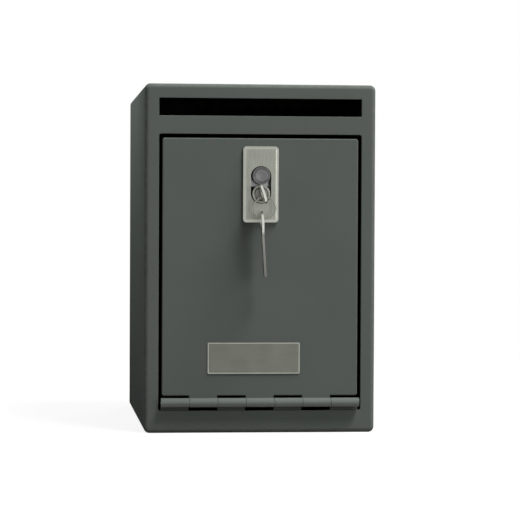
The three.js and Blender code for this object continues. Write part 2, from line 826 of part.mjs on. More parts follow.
const key = addMesh(lock, 'key', makeKey(), keySteel, 0, shoulderY, 0);
key.rotation.y = -keyLean;
const ringPlace = addGroup(lock, ringX, shoulderY + eyeY, -ringDrop);
addMesh(ringPlace, 'key_ring', makeKeyRing(), keySteel);
const hanger = addGroup(ringPlace, -spareKeyShift, 0, -spareEyeDrop);
hanger.rotation.y = -spareKeyLean;
const spareKey = addMesh(hanger, 'spare_key', makeKey(), keySteel, 0, 0, eyeY);
spareKey.rotation.x = -Math.PI / 2;

export default safe;
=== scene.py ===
"""The looks of a small steel deposit safe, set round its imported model. Metres, +Z up, the front faces -Y."""

import math

import bmesh
import bpy
from mathutils import Matrix, Vector


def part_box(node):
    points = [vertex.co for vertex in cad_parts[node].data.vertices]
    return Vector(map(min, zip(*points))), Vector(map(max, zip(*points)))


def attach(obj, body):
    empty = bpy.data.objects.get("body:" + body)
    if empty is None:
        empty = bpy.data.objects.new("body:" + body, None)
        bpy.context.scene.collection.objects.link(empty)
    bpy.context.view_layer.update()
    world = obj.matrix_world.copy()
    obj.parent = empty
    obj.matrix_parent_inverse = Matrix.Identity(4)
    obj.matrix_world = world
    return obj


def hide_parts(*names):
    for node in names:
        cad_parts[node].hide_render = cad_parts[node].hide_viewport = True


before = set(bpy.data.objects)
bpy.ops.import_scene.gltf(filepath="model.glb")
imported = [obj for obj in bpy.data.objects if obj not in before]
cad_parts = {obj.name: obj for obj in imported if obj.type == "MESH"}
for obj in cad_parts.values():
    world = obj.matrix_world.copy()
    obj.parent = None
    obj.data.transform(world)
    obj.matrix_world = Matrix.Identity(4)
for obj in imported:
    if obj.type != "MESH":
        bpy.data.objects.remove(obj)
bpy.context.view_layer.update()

MM = 0.001
QUARTER = math.pi / 2
SAME_POINT = 0.002 * MM
SMALLEST_CORNER = 0.02 * MM
FLAT_ANGLE = math.radians(0.5)

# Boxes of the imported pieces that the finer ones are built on
shell_low, shell_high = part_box("body_shell")
rear_low, rear_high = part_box("back_panel")
door_low, door_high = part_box("door_plate")
badge_low, badge_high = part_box("name_plate")
surround_low, surround_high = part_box("lock_plate")
nose_low, nose_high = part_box("key_nose")
upper_low, upper_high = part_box("blank_nose")
plug_low, plug_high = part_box("blank_plug")
pin_low, pin_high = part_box("hinge_pin")
body_leaf_low, body_leaf_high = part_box("hinge_body_leaf")
door_leaf_low, door_leaf_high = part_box("hinge_door_leaf")
ring_low, ring_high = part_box("key_ring")
key_low, key_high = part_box("key")
spare_low, spare_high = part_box("spare_key")

# Body
SHEET = 3 * MM
SHELL_CORNER = 5 * MM
FRONT_ROUND = 4 * MM
INNER_BEND = 1 * MM
OPENING_WIDTH = 178 * MM
SLOT_HEIGHT = 15.4 * MM
TOP_RAIL = 12.6 * MM
MIDDLE_RAIL = 15.8 * MM
DOORWAY_BOTTOM = 19.6 * MM
SLOT_CORNER = 0.8 * MM
DOORWAY_CORNER = 2 * MM
CUT_EDGE = 0.35 * MM
SEAM = 0.3 * MM
ANCHOR_RADIUS = 5 * MM
ANCHOR_SPAN = (130 * MM, 170 * MM)

# Door
DOOR_CORNER = 2 * MM
DOOR_ROUND = 1 * MM
NOSE_SPACING = 16 * MM
NOSE_HOLE_RADIUS = 8.75 * MM
NOSE_HOLE_HALF = 16.05 * MM

# Lock surround
SURROUND_CORNER = 3 * MM
BEVEL_WIDTH = 2.5 * MM
BEVEL_DEPTH = 1.4 * MM
SOFT_EDGE = 0.18 * MM

# Badge
BADGE_CORNER = 1 * MM
BADGE_BORDER = 0.9 * MM
BADGE_SINK = 0.18 * MM

# Noses and plugs
NOSE_BORE = 6 * MM
NOSE_EDGE = 0.5 * MM
NOSE_LIP = 0.25 * MM
NOSE_GROOVE = 0.2 * MM
PLUG_RADIUS = 5.8 * MM
PLUG_EDGE = 0.4 * MM
PLUG_DISH = ((0, 0.3 * MM), (0.45, 0.22 * MM), (0.8, 0))
LATHE_SIDES = 96

# Hinge
BARREL_RADIUS = 4 * MM
BARREL_BORE = 2.2 * MM
KNUCKLES = 7
LEAVES = 2
KNUCKLE_GAP = 0.3 * MM
KNUCKLE_EDGE = 0.12 * MM
KNUCKLE_EDGE_STEPS = 3
KNUCKLE_SIDES = 72
LEAF_SHEET = 2 * MM
UPPER_CUT_BACK = 8.6 * MM
LOWER_CUT_BACK = 10.4 * MM
WEB_INNER = 2.5 * MM
UPPER_WEB_OUTER = 5.5 * MM
LOWER_WEB_OUTER = 7.3 * MM
WEB_START = 3 * MM
WEB_FLUSH = 3.98 * MM
WEB_END = 8 * MM
WEB_INSIDE = 5 * MM
WEB_SUNK = 6.5 * MM
WEB_CHAMFER = 0.3 * MM
LEAF_EDGE = 0.3 * MM

# Screws
CASE_HEAD = (4 * MM, 2.6 * MM)
CASE_SHANK = (2 * MM, 7 * MM)
COVER_HEAD = (2.4 * MM, 1.6 * MM)
COVER_SHANK = (1.2 * MM, 10 * MM)
SCREW_SIDES = 32
CROWN_STEPS = 6
SHANK_TIP = 0.7
SHANK_TAPER = 0.4
HEAD_SIDE = 0.35
HEAD_FLAT = 0.3
HEAD_WEAR = 0.2
RECESS_WIDTH = 0.12
RECESS_LENGTH = 0.55
RECESS_FROM = 0.45

# Key ring, wound from two turns of flattened wire
RING_TURNS = 2
RING_STEPS = 72
RING_SECTION_POINTS = 12
RING_START = QUARTER * 0.7
RING_CROSSING_START = 0.92
RING_CROSSING_SHARE = 0.16
RING_TIP_SHARE = 0.35
RING_WIRE_HALF_WIDTH = 0.38 * MM
RING_WIRE_HALF_DEPTH = 0.6 * MM
RING_SLIMMED = 0.9 * MM
BOW_RADIUS = 9.3 * MM
BOW_END = 13 * MM

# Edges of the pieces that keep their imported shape
BAR_EDGE = 0.4 * MM
BOLT_EDGE = 0.35 * MM
SHEET_EDGE = 0.3 * MM
COVER_EDGE = 0.25 * MM
FINE_EDGE = 0.2 * MM
POST_EDGE = 0.15 * MM
THIN_EDGE = 0.12 * MM
SPRING_EDGE = 0.08 * MM

# Places of the lock, the hinge and the body
key_axis = Vector(((nose_low.x + nose_high.x) / 2, door_low.y, (nose_low.z + nose_high.z) / 2))
upper_axis = key_axis + Vector((0, 0, NOSE_SPACING))
noses_middle = (key_axis + upper_axis) / 2
pin_middle = (pin_low + pin_high) / 2
pin_z = (pin_low.z + pin_high.z) / 2
knuckle_pitch = (pin_high.x - pin_low.x) / KNUCKLES
front_y = shell_low.y
back_y = shell_high.y


def srgb(red, green, blue):
    """A colour given in display values from 0 to 255, as the shader wants it."""
    values = []
    for share in (red / 255, green / 255, blue / 255):
        values.append(share / 12.92 if share <= 0.04045 else ((share + 0.055) / 1.055) ** 2.4)
    return (*values, 1.0)


# Outlines, as points in X and Z that run anticlockwise seen from the front

def round_corners(width, height, radius, middle, steps=8):
    """A rectangle with round corners."""
    reach = max(radius, SMALLEST_CORNER)
    half_x = width / 2 - reach
    half_z = height / 2 - reach
    signs = ((1, -1), (1, 1), (-1, 1), (-1, -1))
    outline = []
    for corner, (side_x, side_z) in enumerate(signs):
        for step in range(steps + 1):
            turn = (corner - 1 + step / steps) * QUARTER
            x = middle.x + side_x * half_x + reach * math.cos(turn)
            z = middle.z + side_z * half_z + reach * math.sin(turn)
            outline.append((x, z))
    return outline


def shrinking_outline(low, high, radius, steps):
    """Gives a function that draws a box's outline with round corners, smaller by what it is given."""

    def outline(inset):
        width = high.x - low.x - 2 * inset
        height = high.z - low.z - 2 * inset
        return round_corners(width, height, radius - inset, (low + high) / 2, steps)

    return outline


def long_round(half_length, radius, middle, steps=24):
    """An upright slot with half-round ends."""
    outline = []
    for end in (1, -1):
        for step in range(steps + 1):
            turn = step / steps * math.pi + (0 if end == 1 else math.pi)
            x = middle.x + radius * math.cos(turn)
            z = middle.z + end * (half_length - radius) + radius * math.sin(turn)
            outline.append((x, z))
    return outline


def nose_hole(growth):
    """The long hole that both noses stand in, wider by what it is given."""
    return long_round(NOSE_HOLE_HALF + growth, NOSE_HOLE_RADIUS + growth, noses_middle)


def circle(radius, middle, steps=32):
    turns = [2 * math.pi * step / steps for step in range(steps)]
    return [(middle.x + radius * math.cos(turn), middle.z + radius * math.sin(turn)) for turn in turns]


class Skin:
    """A closed mesh made of rings of points. The value rim says where an edge catches wear."""

    def __init__(self):
        self.mesh = bmesh.new()
        self.rim = self.mesh.verts.layers.float.new("rim")

    def ring(self, outline, y, rim=0.0):
        points = [self.mesh.verts.new((x, y, z)) for x, z in outline]
        for point in points:
            point[self.rim] = rim
        return points

    def wall(self, rings):
        for one, two in zip(rings, rings[1:]):
            bridge(self.mesh, one, two)

    def cover(self, *borders):
        """Fills the flat face between the rings that border it."""
        edges = []
        for border in borders:
            for index, point in enumerate(border):
                edges.append(self.mesh.edges.get((point, border[(index + 1) % len(border)])))
        bmesh.ops.triangle_fill(self.mesh, use_beauty=True, edges=edges, normal=(0, 1, 0))

    def close(self, outer, holes=()):
        """Makes the walls of the outer rings and of each hole's, and the two flat faces between them."""
        for rings in (outer, *holes):
            self.wall(rings)
        for end in (0, -1):
            self.cover(outer[end], *[rings[end] for rings in holes])

    def made(self, name):
        return built(name, self.mesh)


def bridge(work, one, two):
    """Faces between two rings of as many points."""
    for index in range(len(one)):
        after = (index + 1) % len(one)
        work.faces.new((one[index], one[after], two[after], two[index]))


def add_object(name, mesh):
    piece = bpy.data.objects.new(name, mesh)
    bpy.context.scene.collection.objects.link(piece)
    return piece


def built(name, work, turn_outwards=True):
    """The object that a working mesh becomes, with its faces turned outwards unless they already are."""
    if turn_outwards:
        bmesh.ops.recalc_face_normals(work, faces=work.faces)
    mesh = bpy.data.meshes.new(name)
    work.to_mesh(mesh)
    work.free()
    return add_object(name, mesh)


def settle(piece):
    """Turns what the modifiers make into the piece's own mesh."""
    depsgraph = bpy.context.evaluated_depsgraph_get()
    evaluated = piece.evaluated_get(depsgraph)
    mesh = bpy.data.meshes.new_from_object(evaluated, preserve_all_data_layers=True, depsgraph=depsgraph)
    piece.modifiers.clear()
    piece.data = mesh
    mesh.name = piece.name
    return piece


def smooth(piece, crease=35):
    """Smooth shading with flat faces kept flat and creases kept sharp."""
    piece.data.shade_smooth()
    piece.data.set_sharp_from_angle(angle=math.radians(crease))
    weighted = piece.modifiers.new("flat faces", "WEIGHTED_NORMAL")
    weighted.keep_sharp = True
    return settle(piece)


def ease(piece, width, segments=2, limit=32):
    """Rounds the piece's sharp edges a little."""
    bevel = piece.modifiers.new("eased edges", "BEVEL")
    bevel.width = width
    bevel.segments = segments
    bevel.limit_method = "ANGLE"
    bevel.angle_limit = math.radians(limit)
    return settle(piece)


def dressed(node, name, width, segments=2, whole=True):
    """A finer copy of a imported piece: loose points joined, flat faces made whole if asked, edges eased."""
    work = bmesh.new()
    work.from_mesh(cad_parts[node].data)
    bmesh.ops.remove_doubles(work, verts=work.verts, dist=SAME_POINT)
    if whole:
        bmesh.ops.dissolve_limit(work, angle_limit=FLAT_ANGLE, verts=work.verts, edges=work.edges)
    return smooth(ease(built(name, work), width, segments))


def mark(piece, share_at):
    """Gives each point its share of the piece's second colour, from 0 to 1."""
    layer = piece.data.attributes.new("worked", "FLOAT", "POINT")
    layer.data.foreach_set("value", [share_at(point.co) for point in piece.data.vertices])
    return piece


def margin_share(low, high, depth):
    """Gives the second colour's share at a point of a plate: 1 in a margin of this depth, otherwise 0."""
    middle = (low + high) / 2

    def share(point):
        reach_x = (high.x - low.x) / 2 - abs(point.x - middle.x)
        reach_z = (high.z - low.z) / 2 - abs(point.z - middle.z)
        return 1.0 if min(reach_x, reach_z) < depth else 0.0

    return share


def quarter_rings(skin, outline_at, radius, start_y, way, steps, outward):
    """Rings round a rounded edge. outline_at gives the outline for an inset, and way is the sign along Y."""
    rings = []
    for step in range(steps + 1):
        turn = step / steps * QUARTER
        if outward:
            inset = radius * (1 - math.sin(turn))
            y = start_y + way * radius * (1 - math.cos(turn))
        else:
            inset = radius * (1 - math.cos(turn))
            y = start_y + way * radius * math.sin(turn)
        rings.append(skin.ring(outline_at(inset), y, math.sin(2 * turn)))
    return rings


def hole_rings(skin, outline_at, near, far, edge, steps=3):
    """Rings from the near face through a hole to the far face, with both edges eased."""
    way = 1 if far > near else -1
    first = quarter_rings(skin, outline_at, edge, near, way, steps, True)
    last = quarter_rings(skin, outline_at, edge, far - way * edge, way, steps, False)
    return first + last


def turned(name, profile, axis, sides=LATHE_SIDES):
    """A closed profile of radius and Y, turned about an axis along Y. A radius of 0 closes to a point."""
    skin = Skin()
    rings = []
    for radius, y, wear in profile:
        outline = circle(radius, axis, sides) if radius else [(axis.x, axis.z)]
        rings.append(skin.ring(outline, y, wear))
    for one, two in zip(rings, rings[1:] + rings[:1]):
        if len(one) == len(two):
            if len(one) > 1:
                bridge(skin.mesh, one, two)
            continue
        for index in range(sides):
            after = (index + 1) % sides
            if len(one) == 1:
                skin.mesh.faces.new((one[0], two[after], two[index]))
            else:
                skin.mesh.faces.new((one[index], one[after], two[0]))
    return smooth(skin.made(name))


def join(name, *parts):
    """One mesh from several, each left whole."""
    work = bmesh.new()
    for part in parts:
        work.from_mesh(part.data)
        bpy.data.objects.remove(part)
    return smooth(built(name, work, False))


def cut(piece, cutter):
    """Takes the cutter's solid out of the piece, and the cutter away."""
    boolean = piece.modifiers.new("cut", "BOOLEAN")
    boolean.object = cutter
    boolean.operation = "DIFFERENCE"
    boolean.solver = "EXACT"
    settle(piece)
    bpy.data.objects.remove(cutter)


def block(name, low, high):
    """A plain block."""
    work = bmesh.new()
    bmesh.ops.create_cube(work, size=1)
    middle = (Vector(low) + Vector(high)) / 2
    size = Vector(high) - Vector(low)
    placed = Matrix.Translation(middle) @ Matrix.Diagonal((*size, 1))
    bmesh.ops.transform(work, matrix=placed, verts=work.verts)
    return built(name, work, False)


def fit(piece, body, material, slot, *nodes):
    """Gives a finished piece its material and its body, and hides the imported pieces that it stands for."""
    piece.data.materials.clear()
    piece.data.materials.append(material)
    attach(piece, body)
    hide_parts(*nodes)


def dress(node, name, width, body, material, slot, segments=2):
    """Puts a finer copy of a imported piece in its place."""
    fit(dressed(node, name, width, segments), body, material, slot, node)


# Shader groups, each built once and used with its own values in several finishes

def add_node(tree, kind, inputs=None, **options):
    """Adds a node, sets its options, and sets or joins its inputs by name or number."""
    node = tree.nodes.new(kind)
    for option, value in options.items():
        setattr(node, option, value)
    for key, value in (inputs or {}).items():
        if isinstance(value, bpy.types.NodeSocket):
            tree.links.new(value, node.inputs[key])
        else:
            node.inputs[key].default_value = value
    return node


def new_group(family, name, inputs, outputs):
    """An empty node group with named sockets. Gives the tree, what comes in and what goes out."""
    tree = bpy.data.node_groups.new(name, family + "NodeTree")
    for label, kind, *value in inputs:
        socket = tree.interface.new_socket(name=label, in_out="INPUT", socket_type="NodeSocket" + kind)
        if value:
            socket.default_value = value[0]
    for label, kind in outputs:
        tree.interface.new_socket(name=label, in_out="OUTPUT", socket_type="NodeSocket" + kind)
    incoming = tree.nodes.new("NodeGroupInput").outputs
    outgoing = tree.nodes.new("NodeGroupOutput").inputs
    return tree, incoming, outgoing


def noise(tree, place, scale, detail=2.0, roughness=0.5):
    inputs = {"Vector": place, "Scale": scale, "Detail": detail, "Roughness": roughness}
    return add_node(tree, "ShaderNodeTexNoise", inputs).outputs[0]


def spread(tree, value, low, high, to_low, to_high):
    """Maps a value from one range to another, and stops at its ends."""
    inputs = {"Value": value, "From Min": low, "From Max": high, "To Min": to_low, "To Max": to_high}
    return add_node(tree, "ShaderNodeMapRange", inputs).outputs[0]


def from_noise(tree, value, to_low, to_high):
    """Maps the middle of what noise gives, where most of it lies, to another range."""
    return spread(tree, value, 0.3, 0.7, to_low, to_high)


def math_node(tree, operation, one, two):
    return add_node(tree, "ShaderNodeMath", {0: one, 1: two}, operation=operation).outputs[0]


def plus(tree, one, two):
    return math_node(tree, "ADD", one, two)


def times(tree, one, two):
    return math_node(tree, "MULTIPLY", one, two)


def vector_node(tree, operation, one, two):
    return add_node(tree, "ShaderNodeVectorMath", {0: one, 1: two}, operation=operation).outputs[0]


def length_node(tree, vector):
    return add_node(tree, "ShaderNodeVectorMath", {0: vector}, operation="LENGTH").outputs["Value"]


def shade(tree, colour, value):
    """The colour made lighter or darker by a factor."""
    return add_node(tree, "ShaderNodeHueSaturation", {"Color": colour, "Value": value}).outputs[0]


def mix_colour(tree, factor, one, two):
    mixed = add_node(tree, "ShaderNodeMix", {0: factor, 6: one, 7: two}, data_type="RGBA")
    return mixed.outputs[2]


def bump(tree, height, strength, distance):
    inputs = {"Height": height, "Strength": strength, "Distance": distance}
    return add_node(tree, "ShaderNodeBump", inputs).outputs[0]


def object_place(tree):
    return add_node(tree, "ShaderNodeTexCoord").outputs["Object"]


def new_skin(name, colour, shine, *own):
    """An empty group for a skin, which takes a colour, values of its own and a shine."""
    inputs = [("Colour", "Color", colour), *own, ("Shine", "Float", shine)]
    outputs = [("Colour", "Color"), ("Roughness", "Float"), ("Normal", "Vector")]
    return new_group("Shader", name, inputs, outputs)


def end_skin(tree, came, gone, tone, varied, height, strength, distance):
    """Joins a skin's tone, its change of shine and its relief to what the group gives."""
    tree.links.new(shade(tree, came["Colour"], tone), gone["Colour"])
    tree.links.new(plus(tree, came["Shine"], varied), gone["Roughness"])
    tree.links.new(bump(tree, height, came[strength], distance), gone["Normal"])
    return tree


def powder_coat_group():
    """Baked paint: orange peel, fine grain, faint flecks, and a shine that varies where hands have been."""
    own = ("Peel", "Float", 0.25), ("Fleck", "Float", 0.05)
    tree, came, gone = new_skin("powder coat", srgb(85, 90, 85), 0.5, *own)
    place = object_place(tree)
    clouds = from_noise(tree, noise(tree, place, 14, 3), 0.96, 1.04)
    grains = noise(tree, place, 2600, 2)
    fleck = times(tree, spread(tree, grains, 0.35, 0.65, -1, 1), came["Fleck"])
    tone = plus(tree, clouds, fleck)
    handled = spread(tree, noise(tree, place, 30, 4, 0.6), 0.35, 0.7, -0.04, 0.05)
    fine = from_noise(tree, grains, -0.04, 0.04)
    varied = plus(tree, handled, fine)
    peel = noise(tree, place, 620, 2, 0.4)
    height = plus(tree, peel, times(tree, grains, 0.35))
    return end_skin(tree, came, gone, tone, varied, height, "Peel", 0.15 * MM)


def edge_wear_group():
    """A mask of scuffed edges, broken up by noise, and the colour with the scuffs on it."""
    tree, came, gone = new_group(
        "Shader", "edge wear",
        [
            ("Colour", "Color", srgb(85, 90, 85)), ("Scuffed", "Color", srgb(120, 124, 118)),
            ("Amount", "Float", 0.5),
        ],
        [("Colour", "Color"), ("Mask", "Float")],
    )
    rim = add_node(tree, "ShaderNodeAttribute", attribute_name="rim").outputs["Fac"]
    place = object_place(tree)
    broken = spread(tree, noise(tree, place, 160, 5, 0.65), 0.4, 0.62, 0, 1)
    edge = spread(tree, rim, 0.35, 0.95, 0, 1)
    mask = times(tree, times(tree, edge, broken), came["Amount"])
    tree.links.new(mix_colour(tree, mask, came["Colour"], came["Scuffed"]), gone["Colour"])
    tree.links.new(mask, gone["Mask"])
    return tree


def brushed_group():
    """Long fine lines of brushed metal. Stretch is how fast the lines change along X, Y and Z."""
    own = ("Stretch", "Vector", (40, 2000, 2000)), ("Depth", "Float", 0.15), ("Contrast", "Float", 0.12)
    tree, came, gone = new_skin("brushed metal", srgb(145, 147, 138), 0.35, *own)
    place = object_place(tree)
    lined = vector_node(tree, "MULTIPLY", place, came["Stretch"])
    lines = noise(tree, lined, 1, 4, 0.6)
    clouds = noise(tree, place, 60, 3)
    swing = times(tree, from_noise(tree, lines, -1, 1), came["Contrast"])
    tone = plus(tree, from_noise(tree, clouds, 0.95, 1.05), swing)
    varied = from_noise(tree, lines, -0.07, 0.07)
    return end_skin(tree, came, gone, tone, varied, lines, "Depth", 0.05 * MM)


def lathe_marks_group():
    """Fine rings that a lathe leaves round an axis along Y."""
    own = ("Axis", "Vector", tuple(key_axis)), ("Pitch", "Float", 0.35 * MM), ("Depth", "Float", 0.3)
    tree, came, gone = new_skin("lathe marks", srgb(145, 147, 138), 0.35, *own)
    place = object_place(tree)
    away = vector_node(tree, "SUBTRACT", place, came["Axis"])
    reach = length_node(tree, vector_node(tree, "MULTIPLY", away, (1, 0, 1)))
    turns = math_node(tree, "DIVIDE", reach, came["Pitch"])
    uneven = plus(tree, turns, noise(tree, place, 240, 2))
    wave = math_node(tree, "SINE", times(tree, uneven, 2 * math.pi), 0)
    clouds = from_noise(tree, noise(tree, place, 180, 3), 0.9, 1.08)
    tone = plus(tree, clouds, times(tree, wave, 0.05))
    varied = times(tree, wave, 0.04)
    return end_skin(tree, came, gone, tone, varied, wave, "Depth", 0.02 * MM)


def cast_skin_group():
    """The slightly sandy, mottled skin of a die casting, or of plating on one."""
    own = ("Grit", "Float", 0.3), ("Mottle", "Float", 0.1)
    tree, came, gone = new_skin("cast skin", srgb(128, 130, 132), 0.45, *own)
    place = object_place(tree)
    sand = noise(tree, place, 1500, 3, 0.6)
    flow = noise(tree, place, 90, 4, 0.55)
    swing = times(tree, from_noise(tree, flow, -1, 1), came["Mottle"])
    tone = plus(tree, swing, 1.0)
    varied = from_noise(tree, flow, -0.08, 0.08)
    return end_skin(tree, came, gone, tone, varied, sand, "Grit", 0.08 * MM)


powder_coat = powder_coat_group()
edge_wear = edge_wear_group()
brushed_metal = brushed_group()
lathe_marks = lathe_marks_group()
cast_skin = cast_skin_group()


def empty_tree(owner):
    """The node tree of a material or world, with nothing in it."""
    owner.use_nodes = True
    owner.node_tree.nodes.clear()
    return owner.node_tree


def new_material(name, metallic):
    """A material with its shader. Gives the material, its tree and the shader's inputs."""
    material = bpy.data.materials.new(name)
    tree = empty_tree(material)
    shader = tree.nodes.new("ShaderNodeBsdfPrincipled")
    leave = tree.nodes.new("ShaderNodeOutputMaterial")
    tree.links.new(shader.outputs[0], leave.inputs["Surface"])
    shader.inputs["Metallic"].default_value = metallic
    return material, tree, shader.inputs


def place_group(tree, group, inputs):
    return add_node(tree, "ShaderNodeGroup", inputs, node_tree=group).outputs


def join_skin(tree, shader, skin, scuffed, wear):
    """Joins a skin to the shader, with scuffs on its edges."""
    worn = place_group(tree, edge_wear, {"Colour": skin["Colour"], "Scuffed": scuffed, "Amount": wear})
    tree.links.new(worn["Colour"], shader["Base Color"])
    tree.links.new(skin["Roughness"], shader["Roughness"])
    tree.links.new(skin["Normal"], shader["Normal"])


def painted(name, colour, scuffed, peel, shine, gloss=0.0, wear=0.35):
    """Powder coat on steel."""
    material, tree, shader = new_material(name, 0.0)
    inputs = {"Colour": colour, "Peel": peel, "Shine": shine}
    join_skin(tree, shader, place_group(tree, powder_coat, inputs), scuffed, wear)
    shader["Specular IOR Level"].default_value = gloss
    return material


def metal(name, group, inputs, scuffed, wear=0.4, worked=None):
    """Bare or plated metal in one of the metal groups. The last argument is a second colour, mixed in by a
    point attribute: a real second tone on the badge, painted highlight on the lock plate's bevel and painted
    shade on the key blades.
    """
    material, tree, shader = new_material(name, 1.0)
    if worked:
        share = add_node(tree, "ShaderNodeAttribute", attribute_name="worked").outputs["Fac"]
        inputs = {**inputs, "Colour": mix_colour(tree, share, inputs["Colour"], worked)}
    join_skin(tree, shader, place_group(tree, group, inputs), scuffed, wear)
    return material


def brushed(name, colour, scuffed, stretch, depth, contrast, shine, wear=0.4, worked=None):
    """Metal with long fine lines."""
    inputs = {"Colour": colour, "Stretch": stretch, "Depth": depth, "Contrast": contrast, "Shine": shine}
    return metal(name, brushed_metal, inputs, scuffed, wear, worked)


def lathed(name, colour, scuffed, axis, shine, wear=0.5):
    """Metal with the rings of a lathe round an axis."""
    inputs = {"Colour": colour, "Axis": tuple(axis), "Shine": shine}
    return metal(name, lathe_marks, inputs, scuffed, wear)


def cast(name, colour, scuffed, grit, mottle, shine):
    """A casting, or plating on one."""
    inputs = {"Colour": colour, "Grit": grit, "Mottle": mottle, "Shine": shine}
    return metal(name, cast_skin, inputs, scuffed)


body_paint = painted("grey green powder coat", srgb(85, 90, 86), srgb(108, 113, 108), peel=0.2, shine=0.84)
hinge_paint = painted(
    "handled powder coat", srgb(86, 91, 87), srgb(109, 114, 109), peel=0.12, shine=0.45, gloss=0.35,
)
# Painted shade: the inner pieces seen through the slot and the door gaps are painted black so that they look
# as dark as shade.
inner_paint = painted("black inner coat", srgb(13, 14, 13), srgb(30, 31, 30), peel=0.3, shine=0.8, wear=0.2)
# Painted highlight: the lighter second colour on the lock plate's bevel stands in for the light that the bevel
# reflects.
satin_nickel = brushed(
    "satin nickel", srgb(142, 144, 135), scuffed=srgb(184, 185, 177), worked=srgb(168, 169, 160),
    stretch=(1800, 1800, 60), depth=0.06, contrast=0.04, shine=0.3,
)
turned_nickel = lathed("turned nickel", srgb(150, 150, 142), srgb(215, 215, 208), key_axis, 0.3, 0.8)
dark_nickel = lathed("dark turned nickel", srgb(104, 103, 104), srgb(150, 150, 148), upper_axis, 0.38)
plug_nickel = lathed("plug nickel", srgb(120, 118, 114), srgb(180, 180, 174), key_axis, 0.33)
badge_metal = brushed(
    "brushed badge", srgb(103, 105, 97), scuffed=srgb(170, 172, 160), wear=0.2, worked=srgb(146, 148, 139),
    stretch=(60, 2400, 2400), depth=0.12, contrast=0.07, shine=0.4,
)
zinc_plate = cast("bright zinc", srgb(160, 163, 166), srgb(205, 207, 208), 0.08, 0.07, 0.34)
# Painted shade: the case is painted darker than bare zinc alloy so that it looks shaded where it shows through
# the nose hole.
cast_case = cast("cast zinc alloy", srgb(100, 101, 102), srgb(180, 182, 184), 0.4, 0.08, 0.48)
ground_steel = brushed(
    "ground steel", srgb(165, 167, 168), scuffed=srgb(215, 216, 216),
    stretch=(2200, 2200, 90), depth=0.15, contrast=0.07, shine=0.3,
)
lever_brass = brushed(
    "lever brass", srgb(186, 156, 92), scuffed=srgb(222, 200, 140),
    stretch=(120, 1800, 1800), depth=0.12, contrast=0.06, shine=0.32,
)
spring_steel = brushed(
    "blued spring steel", srgb(92, 97, 108), scuffed=srgb(150, 155, 162),
    stretch=(1500, 1500, 70), depth=0.08, contrast=0.05, shine=0.3,
)
# Painted shade: the darker second colour on the key blades stands in for shade and dim reflections. The bows
# keep the bright colour.
key_steel = brushed(
    "bright key steel", srgb(206, 206, 199), scuffed=srgb(232, 232, 226), worked=srgb(112, 112, 107),
    stretch=(1600, 70, 1600), depth=0.1, contrast=0.05, shine=0.26,
)
ring_steel = brushed(
    "ring steel", srgb(134, 135, 127), scuffed=srgb(180, 180, 172), wear=0.2,
    stretch=(300, 1600, 300), depth=0.1, contrast=0.06, shine=0.42,
)


# Body

shell_outline = shrinking_outline(shell_low, shell_high, SHELL_CORNER, 10)


def opening_outline(low_z, high_z, corner):
    """Gives a function that draws an opening of the front, wider by what it is given."""
    middle = Vector((0, 0, (low_z + high_z) / 2))

    def outline(growth):
        width = OPENING_WIDTH + 2 * growth
        height = high_z - low_z + 2 * growth
        return round_corners(width, height, corner + growth, middle, 6)

    return outline


def make_shell():
    """The folded box: one sheet with rounded bends, a slot and a doorway in front, open behind."""
    skin = Skin()
    inside_y = front_y + SHEET
    outer = quarter_rings(skin, shell_outline, FRONT_ROUND, front_y, 1, 10, True)
    tail = quarter_rings(skin, shell_outline, CUT_EDGE, back_y - CUT_EDGE, 1, 3, False)
    lip = quarter_rings(skin, lambda inset: shell_outline(SHEET - inset), CUT_EDGE, back_y, -1, 3, True)
    bend_y = inside_y + INNER_BEND
    bend = quarter_rings(skin, lambda inset: shell_outline(SHEET + inset), INNER_BEND, bend_y, -1, 4, False)
    slot_top = shell_high.z - TOP_RAIL
    slot_bottom = slot_top - SLOT_HEIGHT
    doorway_top = slot_bottom - MIDDLE_RAIL
    openings = [
        opening_outline(slot_bottom, slot_top, SLOT_CORNER),
        opening_outline(DOORWAY_BOTTOM, doorway_top, DOORWAY_CORNER),
    ]
    holes = [hole_rings(skin, outline, front_y, inside_y, CUT_EDGE) for outline in openings]
    skin.close(outer + tail + lip + bend, holes)
    return smooth(skin.made("shell"))


def make_rear_panel():
    """The welded back with its four anchor holes."""
    skin = Skin()
    middle = (rear_low + rear_high) / 2
    outline = shrinking_outline(rear_low, rear_high, SHELL_CORNER - SHEET + SEAM, 8)
    behind = quarter_rings(skin, outline, CUT_EDGE, rear_high.y, -1, 3, True)
    inside = quarter_rings(skin, outline, CUT_EDGE, rear_low.y + CUT_EDGE, -1, 3, False)
    holes = []
    for side_x in (-1, 1):
        for side_z in (-1, 1):
            spot = middle + Vector((side_x * ANCHOR_SPAN[0] / 2, 0, side_z * ANCHOR_SPAN[1] / 2))

            def anchor_hole(growth):
                return circle(ANCHOR_RADIUS + growth, spot)

            holes.append(hole_rings(skin, anchor_hole, rear_high.y, rear_low.y, CUT_EDGE))
    skin.close(behind + inside, holes)
    return smooth(skin.made("rear_panel"))


# Door

def make_door_panel():
    """The thick door plate with eased edges and the long hole that the noses stand in."""
    skin = Skin()
    outline = shrinking_outline(door_low, door_high, DOOR_CORNER, 6)
    face = quarter_rings(skin, outline, DOOR_ROUND, door_low.y, 1, 6, True)
    rear = quarter_rings(skin, outline, CUT_EDGE, door_high.y - CUT_EDGE, 1, 3, False)
    hole = hole_rings(skin, nose_hole, door_low.y, door_high.y, CUT_EDGE)
    skin.close(face + rear, [hole])
    return smooth(skin.made("door_panel"))


